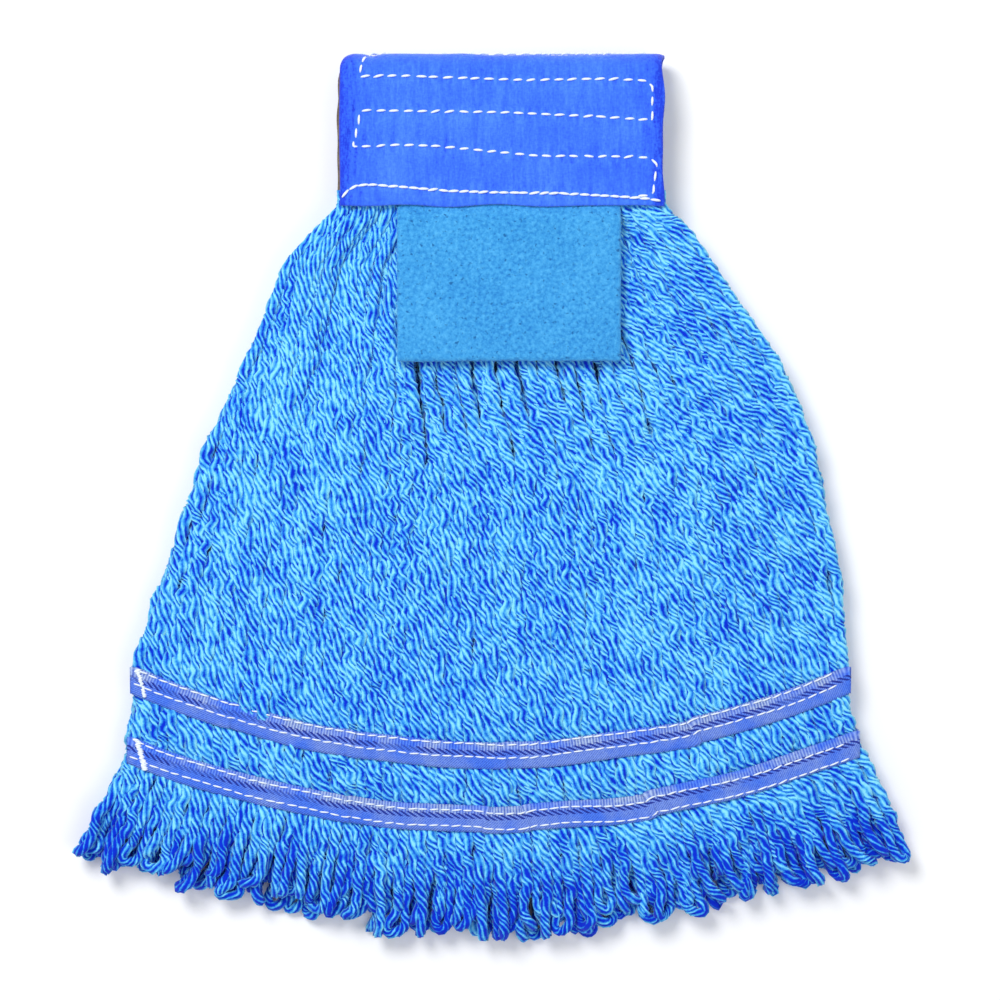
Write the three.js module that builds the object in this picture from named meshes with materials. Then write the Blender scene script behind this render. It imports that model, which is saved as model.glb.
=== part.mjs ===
// A looped-end string mop head, lying flat as it does on a bench.
// It is one layer of strands folded over at the middle of its headband, so it has a back half,
// which rests on the surface, and a front half on top of it, with a scrub pad sewn into the front hem.
// Millimetres, +Z up, +Y towards the fold. The origin is under the middle of the mop head.
import * as THREE from 'three';

// Overall size.
const HEAD_LENGTH = 382;
const FRINGE_WIDTH = 360;
const HALVES = ['back', 'front'];

// Headband: each half is a cover, a core of flattened strands and a lining.
const BAND_LEFT = -65.4;
const BAND_RIGHT = 72.7;
const LINING_OVERHANG = 1.2;
const HEM_Y = 124;
const COVER_THICKNESS = 1.0;
const CORE_THICKNESS = 5.6;
const LINING_THICKNESS = 0.7;
const CHANNEL_GAP = 5.6;
const PLY_GAP = 0.3;
const SEAM_ROOM = 0.9;
const CORE_INSET = 2.5;

// Radii of the plies where the headband turns round the channel for the clamp bar.
const LINING_IN = CHANNEL_GAP / 2;
const LINING_OUT = LINING_IN + LINING_THICKNESS;
const CORE_IN = LINING_OUT + PLY_GAP;
const CORE_OUT = CORE_IN + CORE_THICKNESS;
const COVER_IN = CORE_OUT + PLY_GAP;
const COVER_OUT = COVER_IN + COVER_THICKNESS;
const MID_Z = SEAM_ROOM + COVER_OUT;
const FOLD_Y = HEAD_LENGTH / 2 - COVER_OUT;
const FOLD_AXIS_LIFT = 0.6;
const FOLD_AXIS_Z = MID_Z + FOLD_AXIS_LIFT;
const SPLIT_GAP = 0.15;
const BEND_SEGMENTS = 7;

// Scrub pad, and the thin edge of it that is caught in the hem seam.
const PAD_LEFT = -40.9;
const PAD_RIGHT = 54.6;
const PAD_FOOT_Y = 57.8;
const PAD_THICKNESS = 4.8;
const PAD_STANDS_PROUD = 0.6;
const PAD_TOP_Z = MID_Z + COVER_OUT + PAD_STANDS_PROUD;
const PAD_EDGE_THICKNESS = 1.5;
const PAD_EDGE_DEPTH = 8.5;
const HEM_STEP = PAD_EDGE_THICKNESS + PLY_GAP;
const HEM_STEP_LENGTH = PAD_EDGE_DEPTH + 1;

// Sewing thread.
const THREAD_RADIUS = 0.35;
const THREAD_LIFT = 0.08;
const THREAD_SIDES = 5;
const ROW_END_LEFT = -58;
const ROW_END_RIGHT = 67.5;
const STITCH_ROWS_Y = [177.8, 162, 147.5];
const SERPENTINE_END_Y = 130.5;
const CORNER_RADIUS = 2.5;
const SERPENTINE_STEPS = 150;
const FOLD_ROW_ANGLE = THREE.MathUtils.degToRad(38);
const FOLD_THREAD_LIFT = 0.45;
const FOLD_CLIMBS = [0.3, 0.65, 1];
const HEM_SEAM_Y = 128.4;
const HEM_SEAM_INSET = 1.5;
const HEM_SEAM_STEPS = 8;

// Strand bundles: how many fan out of each half, and how they are shaped.
const BUNDLES = 8;
const BUNDLE_GAP = 0.4;
const BUNDLE_CHAMFER = 1.2;

// Tapes sewn across the strands.
const TAPE_WIDTH = 10.8;
const TAPE_THICKNESS = 0.7;
const TAPE_STEPS = 26;
const TAPE_RELIEF = 3;
const TAPE_STITCH_INSET = 1.7;
const TAPE_STITCH_POINTS = 9;
const TAPE_END_CLEARANCE = 2.2;
const TACK_WIDTH = 1.2;
const TACK_LENGTH = 8;

// Rows across the strands, from the hem to the loop tips. Each gives where it meets the left and
// right edges, how far its middle hangs below its ends, and the heights of the two layers there.
const ROWS = [
  { left: [-65, 123.7], right: [72, 123.7], sag: 0,
    backTop: 7.8, frontFoot: 14.6, frontTop: 17.8, sideTop: 20.6 },
  { left: [-77, 112.5], right: [83.5, 114], sag: 0,
    backTop: 7.9, frontFoot: 10, frontTop: 17.8, sideTop: 20.4 },
  { left: [-90, 99], right: [94, 99], sag: 1,
    backTop: 7.9, frontFoot: 9.2, frontTop: 17.7, sideTop: 19.6 },
  { left: [-102.5, 63], right: [118.5, 63], sag: 5,
    backTop: 7.8, frontFoot: 8.7, frontTop: 17.3, sideTop: 18.4 },
  { left: [-122, 24], right: [137.5, 24], sag: 12,
    backTop: 7.6, frontFoot: 8.4, frontTop: 16.6, sideTop: 16.8 },
  { left: [-138.5, -27], right: [147, -27], sag: 21,
    backTop: 7.4, frontFoot: 8.1, frontTop: 15.7, sideTop: 15.7 },
  { left: [-154.6, -79], right: [152.4, -79], sag: 32, tape: 'upper',
    backTop: 7.2, frontFoot: 7.9, frontTop: 15, sideTop: 15 },
  { left: [-156, -109], right: [156.3, -106], sag: 31, tape: 'lower',
    backTop: 7.0, frontFoot: 7.7, frontTop: 14.6, sideTop: 14.6 },
  { left: [-170, -134], right: [168, -130], sag: 34,
    backTop: 6.8, frontFoot: 7.5, frontTop: 14.2, sideTop: 14.2 },
  { left: [-FRINGE_WIDTH / 2, -155], right: [FRINGE_WIDTH / 2, -155], sag: HEAD_LENGTH / 2 - 155,
    backTop: 6.4, frontFoot: 7.2, frontTop: 13.4, sideTop: 13.4 },
];

function softMaterial(name, color, roughness) {
  return new THREE.MeshStandardMaterial({ name, color, roughness, metalness: 0 });
}

const cloth = softMaterial('band_cloth', 0x3f79f2, 0.85);
const lining = softMaterial('lining', 0x8a7466, 0.9);
const yarn = softMaterial('yarn', 0x52a3ee, 0.95);
const padFibre = softMaterial('pad_fibre', 0x48abec, 1);
const tapeCloth = softMaterial('tape', 0x5f87e7, 0.9);
const thread = softMaterial('thread', 0xeef3fb, 0.7);

const mopHead = new THREE.Group();

function addPiece(name, geometry, material) {
  const piece = new THREE.Mesh(geometry, material);
  piece.name = name;
  mopHead.add(piece);
  return piece;
}

function addBox(name, material, low, high) {
  const size = high.map((value, axis) => value - low[axis]);
  const piece = addPiece(name, new THREE.BoxGeometry(...size), material);
  piece.position.set(...low.map((value, axis) => value + size[axis] / 2));
}

// Turns a profile drawn in the plane of the fold, (y, z), into a solid that runs along X.
function extrudeAcross(profile, fromX, toX) {
  const geometry = new THREE.ExtrudeGeometry(profile, {
    depth: toX - fromX,
    bevelEnabled: false,
    curveSegments: BEND_SEGMENTS,
  });
  const turn = new THREE.Matrix4().makeBasis(
    new THREE.Vector3(0, 1, 0),
    new THREE.Vector3(0, 0, 1),
    new THREE.Vector3(1, 0, 0),
  );
  geometry.applyMatrix4(turn);
  geometry.translate(fromX, 0, 0);
  return geometry;
}

// One ply of a band half: flat from the hem to the fold, then round the channel as far as the
// plane where the two halves meet. side is -1 for the back half and 1 for the front half.
function plyProfile(side, innerRadius, outerRadius, hemStep = 0) {
  const meetingHeight = FOLD_AXIS_Z + side * SPLIT_GAP - MID_Z;
  const flatAngle = side * Math.PI / 2;
  const innerEnd = Math.asin(meetingHeight / innerRadius);
  const outerEnd = Math.asin(meetingHeight / outerRadius);
  const clockwise = side > 0;
  const profile = new THREE.Shape();
  profile.moveTo(HEM_Y, MID_Z + side * (outerRadius - hemStep));
  if (hemStep > 0) {
    profile.lineTo(HEM_Y + HEM_STEP_LENGTH, MID_Z + side * (outerRadius - hemStep));
    profile.lineTo(HEM_Y + HEM_STEP_LENGTH, MID_Z + side * outerRadius);
  }
  profile.lineTo(FOLD_Y, MID_Z + side * outerRadius);
  profile.absarc(FOLD_Y, MID_Z, outerRadius, flatAngle, outerEnd, clockwise);
  profile.lineTo(FOLD_Y + innerRadius * Math.cos(innerEnd), MID_Z + meetingHeight);
  profile.absarc(FOLD_Y, MID_Z, innerRadius, innerEnd, flatAngle, !clockwise);
  profile.lineTo(HEM_Y, MID_Z + side * innerRadius);
  profile.closePath();
  return profile;
}

function addBandHalf(half) {
  const side = half === 'front' ? 1 : -1;
  const leftEdge = half === 'front' ? BAND_LEFT : BAND_LEFT - LINING_OVERHANG / 2;
  const hemStep = half === 'front' ? HEM_STEP : 0;
  const cover = plyProfile(side, COVER_IN, COVER_OUT);
  const core = plyProfile(side, CORE_IN, CORE_OUT, hemStep);
  const inside = plyProfile(side, LINING_IN, LINING_OUT);
  addPiece(`${half}_band_cover`, extrudeAcross(cover, leftEdge, BAND_RIGHT), cloth);
  const coreSolid = extrudeAcross(core, leftEdge + CORE_INSET, BAND_RIGHT - CORE_INSET);
  addPiece(`${half}_band_yarn_core`, coreSolid, yarn);
  const liningSolid = extrudeAcross(inside, leftEdge - LINING_OVERHANG / 2, BAND_RIGHT);
  addPiece(`${half}_band_lining`, liningSolid, lining);
}

// A sewing thread laid along points, as a thin tube.
function threadAlong(points, steps) {
  const path = new THREE.CatmullRomCurve3(points, false, 'centripetal');
  const section = new THREE.Shape();
  for (let side = 0; side < THREAD_SIDES; side += 1) {
    const angle = 2 * Math.PI * side / THREAD_SIDES;
    const x = THREAD_RADIUS * Math.cos(angle);
    const y = THREAD_RADIUS * Math.sin(angle);
    if (side === 0) section.moveTo(x, y);
    else section.lineTo(x, y);
  }
  section.closePath();
  return new THREE.ExtrudeGeometry(section, { steps, extrudePath: path, bevelEnabled: false });
}

// The serpentine quilting seam: a row over the fold, then rows joined at alternate ends, and last a
// run down the right side to the hem seam.
function serpentinePoints(side) {
  const flatZ = MID_Z + side * (COVER_OUT + THREAD_LIFT + THREAD_RADIUS);
  const foldRadius = COVER_OUT + FOLD_THREAD_LIFT + THREAD_RADIUS;
  const onFold = (x, climb) => {
    const angle = THREE.MathUtils.lerp(FOLD_ROW_ANGLE, Math.PI / 2, climb);
    return new THREE.Vector3(
      x, FOLD_Y + foldRadius * Math.cos(angle), MID_Z + side * foldRadius * Math.sin(angle));
  };
  const onFlat = (x, y) => new THREE.Vector3(x, y, flatZ);
  const points = [ROW_END_RIGHT - CORNER_RADIUS, 0, ROW_END_LEFT + CORNER_RADIUS]
    .map((x) => onFold(x, 0));
  for (const climb of FOLD_CLIMBS) points.push(onFold(ROW_END_LEFT, climb));
  STITCH_ROWS_Y.forEach((y, row) => {
    const startsLeft = row % 2 === 0;
    const start = startsLeft ? ROW_END_LEFT : ROW_END_RIGHT;
    const end = startsLeft ? ROW_END_RIGHT : ROW_END_LEFT;
    const inward = startsLeft ? CORNER_RADIUS : -CORNER_RADIUS;
    if (row > 0) points.push(onFlat(start, y + CORNER_RADIUS));
    for (const x of [start + inward, start + 3 * inward, end - 3 * inward, end - inward]) {
      points.push(onFlat(x, y));
    }
    points.push(onFlat(end, y - CORNER_RADIUS));
  });
  points.push(onFlat(ROW_END_RIGHT, SERPENTINE_END_Y));
  return points;
}

function addBandStitching(half) {
  const side = half === 'front' ? 1 : -1;
  const seamZ = MID_Z + side * (COVER_OUT + THREAD_LIFT + THREAD_RADIUS);
  const hemSeam = [BAND_LEFT + HEM_SEAM_INSET, (BAND_LEFT + BAND_RIGHT) / 2, BAND_RIGHT - HEM_SEAM_INSET]
    .map((x) => new THREE.Vector3(x, HEM_SEAM_Y, seamZ));
  addPiece(`${half}_serpentine_stitching`, threadAlong(serpentinePoints(side), SERPENTINE_STEPS), thread);
  addPiece(`${half}_hem_seam`, threadAlong(hemSeam, HEM_SEAM_STEPS), thread);
}

function addScrubPad() {
  const edgeTop = MID_Z + CORE_OUT;
  addBox('scrub_pad', padFibre,
    [PAD_LEFT, PAD_FOOT_Y, PAD_TOP_Z - PAD_THICKNESS],
    [PAD_RIGHT, HEM_Y - PLY_GAP, PAD_TOP_Z]);
  addBox('scrub_pad_seam_edge', padFibre,
    [PAD_LEFT, HEM_Y + PLY_GAP, edgeTop - PAD_EDGE_THICKNESS],
    [PAD_RIGHT, HEM_Y + PAD_EDGE_DEPTH, edgeTop]);
}

// A point on a row: across runs from 0 at the left edge to 1 at the right edge.
function rowPoint(row, across) {
  const x = THREE.MathUtils.lerp(row.left[0], row.right[0], across);
  const edgeY = THREE.MathUtils.lerp(row.left[1], row.right[1], across);
  const hang = row.sag * 4 * across * (1 - across);
  return [x, edgeY - hang];
}

// Heights of a half's layer of strands on a row, from its foot to its top.
function layerHeights(half, row, isSideBundle) {
  if (half === 'back') return [0, row.backTop];
  return [row.frontFoot, isSideBundle ? row.sideTop : row.frontTop];
}

// Where a tape crosses, the strands are pressed together between its two plies.
function pressedHeights(half, foot, top) {
  const outerRoom = SEAM_ROOM + TAPE_THICKNESS + PLY_GAP;
  const innerRoom = TAPE_THICKNESS + 2 * PLY_GAP;
  if (half === 'back') return [foot + outerRoom, top - innerRoom];
  return [foot + innerRoom, top - outerRoom];
}

// The sections of a bundle, from the hem to the loop tips.
function bundleStations(half, isSideBundle) {
  const stations = [];
  for (const row of ROWS) {
    const [foot, top] = layerHeights(half, row, isSideBundle);
    if (!row.tape) {
      stations.push({ row, shift: 0, foot, top });
      continue;
    }
    const [pressedFoot, pressedTop] = pressedHeights(half, foot, top);
    const edge = TAPE_WIDTH / 2 + PLY_GAP;
    stations.push({ row, shift: edge + TAPE_RELIEF, foot, top });
    stations.push({ row, shift: edge, foot: pressedFoot, top: pressedTop });
    stations.push({ row, shift: -edge, foot: pressedFoot, top: pressedTop });
    stations.push({ row, shift: -edge - TAPE_RELIEF, foot, top });
  }
  return stations;
}

// One closed ring of points round a bundle, with its long edges chamfered.
function bundleRing(station, fromAcross, toAcross) {
  const [leftX, leftY] = rowPoint(station.row, fromAcross);
  const [rightX, rightY] = rowPoint(station.row, toAcross);
  const { foot, top, shift } = station;
  const low = leftX + BUNDLE_GAP / 2;
  const high = rightX - BUNDLE_GAP / 2;
  const corner = (share, z) => new THREE.Vector3(
    THREE.MathUtils.lerp(low, high, share), THREE.MathUtils.lerp(leftY, rightY, share) + shift, z);
  const chamferShare = BUNDLE_CHAMFER / (high - low);
  return [
    corner(0, foot + BUNDLE_CHAMFER),
    corner(chamferShare, foot),
    corner(1 - chamferShare, foot),
    corner(1, foot + BUNDLE_CHAMFER),
    corner(1, top - BUNDLE_CHAMFER),
    corner(1 - chamferShare, top),
    corner(chamferShare, top),
    corner(0, top - BUNDLE_CHAMFER),
  ];
}

// A closed solid through rings that all have the same number of points.
function loft(rings) {
  const count = rings[0].length;
  const positions = rings.flat().flatMap((point) => point.toArray());
  const triangles = [];
  for (let ring = 0; ring < rings.length - 1; ring += 1) {
    for (let i = 0; i < count; i += 1) {
      const next = (i + 1) % count;
      const here = ring * count;
      const beyond = here + count;
      triangles.push(here + i, here + next, beyond + next, here + i, beyond + next, beyond + i);
    }
  }
  const last = (rings.length - 1) * count;
  for (let i = 1; i < count - 1; i += 1) {
    triangles.push(0, i + 1, i);
    triangles.push(last, last + i, last + i + 1);
  }
  const geometry = new THREE.BufferGeometry();
  geometry.setAttribute('position', new THREE.Float32BufferAttribute(positions, 3));
  geometry.setIndex(triangles);
  geometry.computeVertexNormals();
  return geometry;
}

function addStrands(half) {
  for (let bundle = 0; bundle < BUNDLES; bundle += 1) {
    const isSideBundle = bundle === 0 || bundle === BUNDLES - 1;
    const rings = bundleStations(half, isSideBundle)
      .map((station) => bundleRing(station, bundle / BUNDLES, (bundle + 1) / BUNDLES));
    addPiece(`${half}_strands_${bundle + 1}`, loft(rings), yarn);
  }
}

// A flat ribbon along a row, drawn as its outline and given its thickness.
function ribbonGeometry(row, foot) {
  const outline = new THREE.Shape();
  for (let step = 0; step <= TAPE_STEPS; step += 1) {
    const [x, y] = rowPoint(row, step / TAPE_STEPS);
    if (step === 0) outline.moveTo(x, y - TAPE_WIDTH / 2);
    else outline.lineTo(x, y - TAPE_WIDTH / 2);
  }
  for (let step = TAPE_STEPS; step >= 0; step -= 1) {
    const [x, y] = rowPoint(row, step / TAPE_STEPS);
    outline.lineTo(x, y + TAPE_WIDTH / 2);
  }
  outline.closePath();
  const geometry = new THREE.ExtrudeGeometry(outline, { depth: TAPE_THICKNESS, bevelEnabled: false });
  geometry.translate(0, 0, foot);
  return geometry;
}

function tapeStitchPoints(row, shift, z) {
  const points = [];
  const share = TAPE_END_CLEARANCE / (row.right[0] - row.left[0]);
  for (let step = 0; step < TAPE_STITCH_POINTS; step += 1) {
    const across = THREE.MathUtils.lerp(share, 1 - share, step / (TAPE_STITCH_POINTS - 1));
    const [x, y] = rowPoint(row, across);
    points.push(new THREE.Vector3(x, y + shift, z));
  }
  return points;
}

function addTapes(half) {
  for (const row of ROWS.filter((candidate) => candidate.tape)) {
    const isFront = half === 'front';
    const [foot, top] = layerHeights(half, row, false);
    const outerFoot = isFront ? top - SEAM_ROOM - TAPE_THICKNESS : foot + SEAM_ROOM;
    const innerFoot = isFront ? foot + PLY_GAP : top - PLY_GAP - TAPE_THICKNESS;
    const seamLift = THREAD_LIFT + THREAD_RADIUS;
    const seamZ = isFront ? outerFoot + TAPE_THICKNESS + seamLift : outerFoot - seamLift;
    const stitchShift = TAPE_WIDTH / 2 - TAPE_STITCH_INSET;
    const name = `${half}_${row.tape}_tape`;
    addPiece(`${name}_outer`, ribbonGeometry(row, outerFoot), tapeCloth);
    addPiece(`${name}_inner`, ribbonGeometry(row, innerFoot), tapeCloth);
    const above = tapeStitchPoints(row, stitchShift, seamZ);
    const below = tapeStitchPoints(row, -stitchShift, seamZ);
    addPiece(`${name}_stitch_above`, threadAlong(above, TAPE_STEPS), thread);
    addPiece(`${name}_stitch_below`, threadAlong(below, TAPE_STEPS), thread);
    addBox(`${name}_bar_tack`, thread,
      [row.left[0] + PLY_GAP, row.left[1] - TACK_LENGTH / 2, seamZ - THREAD_RADIUS],
      [row.left[0] + PLY_GAP + TACK_WIDTH, row.left[1] + TACK_LENGTH / 2, seamZ + THREAD_RADIUS]);
  }
}

for (const half of HALVES) {
  addBandHalf(half);
  addBandStitching(half);
  addStrands(half);
  addTapes(half);
}
addScrubPad();

export default mopHead;
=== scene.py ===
"""Looks of a looped-end string mop head that lies flat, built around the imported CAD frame.

Metres, in the frame's own axes: +Z is up, out of the front face, and +Y runs from the loops to the fold.
"""
import math

import bpy
import numpy as np
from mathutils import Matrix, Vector
from mathutils.bvhtree import BVHTree
from mathutils.kdtree import KDTree


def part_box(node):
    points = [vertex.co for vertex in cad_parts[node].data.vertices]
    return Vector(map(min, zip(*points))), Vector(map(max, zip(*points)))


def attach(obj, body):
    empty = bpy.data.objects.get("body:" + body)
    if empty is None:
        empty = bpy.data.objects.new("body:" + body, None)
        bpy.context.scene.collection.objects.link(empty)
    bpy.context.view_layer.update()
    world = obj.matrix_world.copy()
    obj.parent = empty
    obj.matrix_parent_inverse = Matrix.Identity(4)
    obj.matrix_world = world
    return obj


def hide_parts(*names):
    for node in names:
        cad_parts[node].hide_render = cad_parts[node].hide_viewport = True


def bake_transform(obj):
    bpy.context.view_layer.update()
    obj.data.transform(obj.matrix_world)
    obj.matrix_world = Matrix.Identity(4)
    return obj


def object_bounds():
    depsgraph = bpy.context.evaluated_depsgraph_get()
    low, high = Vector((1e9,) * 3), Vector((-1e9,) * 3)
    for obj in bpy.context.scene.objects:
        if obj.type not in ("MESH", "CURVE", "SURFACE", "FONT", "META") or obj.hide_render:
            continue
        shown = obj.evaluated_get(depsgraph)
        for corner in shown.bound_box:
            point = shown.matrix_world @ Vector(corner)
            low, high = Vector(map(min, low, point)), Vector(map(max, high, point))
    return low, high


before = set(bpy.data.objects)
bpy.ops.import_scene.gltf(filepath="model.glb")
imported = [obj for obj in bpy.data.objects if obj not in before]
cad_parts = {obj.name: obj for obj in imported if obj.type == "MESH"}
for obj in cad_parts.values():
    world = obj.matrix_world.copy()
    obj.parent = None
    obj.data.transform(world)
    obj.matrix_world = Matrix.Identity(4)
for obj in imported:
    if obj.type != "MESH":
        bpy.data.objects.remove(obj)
cad_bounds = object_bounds()
MM = 0.001


# ---- Reading the frame ----

def node_points(node):
    """The vertices of a CAD node, as an array."""
    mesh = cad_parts[node].data
    points = np.empty(len(mesh.vertices) * 3)
    mesh.vertices.foreach_get("co", points)
    return points.reshape(-1, 3)


def node_tree(nodes):
    """One search tree for the faces of several CAD nodes."""
    points, faces = [], []
    for node in nodes:
        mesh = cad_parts[node].data
        first = len(points)
        points += [vertex.co.copy() for vertex in mesh.vertices]
        faces += [[first + index for index in polygon.vertices] for polygon in mesh.polygons]
    return BVHTree.FromPolygons(points, faces)


def ribbon_line(node):
    """The middle line of a tape that runs across the strands: its x values and its y values."""
    points = node_points(node)
    columns = np.unique(points[:, 0].round(4))
    middle = []
    for column in columns:
        across = points[np.abs(points[:, 0] - column) < 0.1 * MM, 1]
        middle.append((across.min() + across.max()) / 2)
    return columns, np.array(middle)


BUNDLES = sum(name.startswith("front_strands_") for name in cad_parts)
HALVES = ("back", "front")

cover_low, cover_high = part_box("front_band_cover")
back_cover_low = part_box("back_band_cover")[0]
HEM_Y = cover_low.y
BAND_TOP_Z = cover_high.z
BAND_FOOT_Z = back_cover_low.z
BAND_MID_Z = (BAND_TOP_Z + BAND_FOOT_Z) / 2
COVER_OUTER_RADIUS = (BAND_TOP_Z - BAND_FOOT_Z) / 2
FOLD_Y = cover_high.y - COVER_OUTER_RADIUS
CORE_OUTER_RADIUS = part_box("front_band_yarn_core")[1].z - BAND_MID_Z
LINING_OUTER_RADIUS = BAND_MID_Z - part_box("back_band_lining")[0].z
lining_points = node_points("front_band_lining")
LINING_INNER_RADIUS = lining_points[lining_points[:, 1] < FOLD_Y, 2].min() - BAND_MID_Z
COVER_THICKNESS = COVER_OUTER_RADIUS - CORE_OUTER_RADIUS - 0.3 * MM

tape_low, tape_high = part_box("front_upper_tape_outer")
TAPE_THICKNESS = tape_high.z - tape_low.z
TAPES = {name: ribbon_line(f"front_{name}_tape_outer") for name in ("upper", "lower")}


# ---- The fan of strands, measured on the frame ----

BACK_TREE = node_tree([f"back_strands_{i + 1}" for i in range(BUNDLES)])
PROBE_Z = 4 * MM
EDGE_SAMPLES = 60
FRINGE_CORNER_HEIGHT = 24 * MM


def side_edges():
    """The left and right outline of the strands against y, from the hem to the corner of the fringe."""
    lowest_y = node_points("back_strands_1")[:, 1].min()
    heights = np.linspace(HEM_Y - 1 * MM, lowest_y + FRINGE_CORNER_HEIGHT, EDGE_SAMPLES)
    left, right = [], []
    for y in heights:
        left.append(BACK_TREE.ray_cast(Vector((-1, y, PROBE_Z)), Vector((1, 0, 0)))[0].x)
        right.append(BACK_TREE.ray_cast(Vector((1, y, PROBE_Z)), Vector((-1, 0, 0)))[0].x)
    return heights[::-1], np.array(left[::-1]), np.array(right[::-1])


EDGE_Y, EDGE_LEFT, EDGE_RIGHT = side_edges()
corner_points = node_points("back_strands_1")
CORNER_Y = corner_points[corner_points[:, 0].argmin(), 1]
TIP_Y = cad_bounds[0][1]
SAG_GROWTH = 1.8
FRINGE_CURVE = 1.6
FRINGE_SPREAD = 0.85


def smooth(value):
    """0 up to 0, 1 from 1 on, and an even curve between them."""
    value = np.clip(value, 0, 1)
    return value * value * (3 - 2 * value)


def between(first, second, share):
    """The value at a share of the way from the first to the second."""
    return first + (second - first) * share


def bell(value, centre, width):
    """1 at the centre, and less and less away from it."""
    return np.exp(-((value - centre) / width) ** 2)


def tape_point(name, share):
    """The middle of a tape at share of its length."""
    columns, middle = TAPES[name]
    x = between(columns[0], columns[-1], share)
    return x, np.interp(x, columns, middle)


def fan_point(share, along):
    """Where the strand at share of the width is.

    along is 0 at the hem, 1 and 2 at the tapes, and 3 at the tips.
    """
    share, along = np.broadcast_arrays(np.asarray(share, float), np.asarray(along, float))
    upper_x, upper_y = tape_point("upper", share)
    lower_x, lower_y = tape_point("lower", share)
    columns, middle = TAPES["upper"]
    belly = 4 * share * (1 - share)
    upper_sag = (middle[0] + middle[-1]) / 2 - middle.min()
    fall = np.clip(along, 0, 1)
    left_y = between(HEM_Y, middle[0], fall)
    right_y = between(HEM_Y, middle[-1], fall)
    left_x = np.interp(left_y, EDGE_Y, EDGE_LEFT)
    right_x = np.interp(right_y, EDGE_Y, EDGE_RIGHT)
    x = between(left_x, right_x, share)
    y = between(left_y, right_y, share) - upper_sag * belly * fall ** SAG_GROWTH
    past_upper = np.clip(along - 1, 0, 1)
    x = np.where(along > 1, between(upper_x, lower_x, past_upper), x)
    y = np.where(along > 1, between(upper_y, lower_y, past_upper), y)
    tip_x = between(cad_bounds[0][0], cad_bounds[1][0], share)
    tip_y = CORNER_Y + (TIP_Y - CORNER_Y) * (1 - np.abs(2 * share - 1) ** FRINGE_CURVE)
    fringe = np.clip(along - 2, 0, 1)
    x = np.where(along > 2, between(lower_x, tip_x, fringe ** FRINGE_SPREAD), x)
    y = np.where(along > 2, between(lower_y, tip_y, fringe), y)
    return np.stack([x, y], -1)


HEIGHT_SAMPLES = np.concatenate([np.linspace(0.01, 0.9, 50), np.linspace(0.91, 2.12, 160),
                                 np.linspace(2.14, 2.97, 30)])
FAR = 1.0


def bundle_heights(half, bundle):
    """The foot and top of a bundle's solid along its middle line."""
    tree = node_tree([f"{half}_strands_{bundle + 1}"])
    line = fan_point((bundle + 0.5) / BUNDLES, HEIGHT_SAMPLES)
    feet, tops = [], []
    for x, y in line:
        foot = tree.ray_cast(Vector((x, y, -FAR)), Vector((0, 0, 1)))[0]
        top = tree.ray_cast(Vector((x, y, FAR)), Vector((0, 0, -1)))[0]
        feet.append(feet[-1] if foot is None else foot.z)
        tops.append(tops[-1] if top is None else top.z)
    return np.array(feet), np.array(tops)


# ---- Lines and meshes ----

def distances(line):
    """How far along a line each of its points is."""
    return np.concatenate([[0], np.cumsum(np.linalg.norm(np.diff(line, axis=0), axis=1))])


def points_at(line, lengths, where):
    """The points of a line, or other values for each of its points, at some distances along it."""
    return np.stack([np.interp(where, lengths, column) for column in line.T], -1)


def unit(vectors):
    """Vectors of length 1 with the same directions."""
    return vectors / np.linalg.norm(vectors, axis=1)[:, None]


def wander(positions, rng, waves, reach, amplitude):
    """A smooth random line: a sum of sines with wavelengths between the two values of reach."""
    total = np.zeros_like(positions)
    for _ in range(waves):
        wavelength = rng.uniform(*reach)
        total = total + np.sin(2 * math.pi * positions / wavelength + rng.uniform(0, 2 * math.pi))
    return total * amplitude / math.sqrt(waves)


def add_mesh(name, points, faces, material, corner_uvs=None, point_values=None):
    """A smooth mesh object. corner_uvs holds UV layers and point_values holds numbers for each point."""
    mesh = bpy.data.meshes.new(name)
    mesh.from_pydata(np.asarray(points).tolist(), [], [list(map(int, face)) for face in faces])
    mesh.polygons.foreach_set("use_smooth", np.ones(len(mesh.polygons), bool))
    for layer, uvs in (corner_uvs or {}).items():
        mesh.uv_layers.new(name=layer).data.foreach_set("uv", np.asarray(uvs, np.float32).ravel())
    for key, values in (point_values or {}).items():
        attribute = mesh.attributes.new(key, "FLOAT", "POINT")
        attribute.data.foreach_set("value", np.asarray(values, np.float32).ravel())
    mesh.materials.append(material)
    mesh.update()
    piece = bpy.data.objects.new(name, mesh)
    bpy.context.scene.collection.objects.link(piece)
    return piece


def slab(outer, inner):
    """A closed sheet between two grids of points of the same shape: its points and its faces."""
    rows, columns = outer.shape[:2]
    points = np.concatenate([outer.reshape(-1, 3), inner.reshape(-1, 3)])
    index = np.arange(rows * columns).reshape(rows, columns)
    below = index + rows * columns
    front = np.stack([index[:-1, :-1], index[:-1, 1:], index[1:, 1:], index[1:, :-1]], -1).reshape(-1, 4)
    back = np.stack([below[:-1, :-1], below[1:, :-1], below[1:, 1:], below[:-1, 1:]], -1).reshape(-1, 4)
    rim = np.concatenate([index[0, :], index[1:, -1], index[-1, -2::-1], index[-2:0:-1, 0]])
    after = np.roll(rim, -1)
    offset = rows * columns
    wall = np.stack([rim, rim + offset, after + offset, after], -1)
    return points, np.concatenate([front, back, wall])


def tube_faces(rings, sides):
    """The walls and both caps of a tube made of rings of points."""
    index = np.arange(rings * sides).reshape(rings, sides)
    turned = np.roll(index, -1, axis=1)
    walls = np.stack([index[:-1], turned[:-1], turned[1:], index[1:]], -1).reshape(-1, 4)
    return walls.tolist() + [index[0][::-1].tolist(), index[-1].tolist()]


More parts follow.
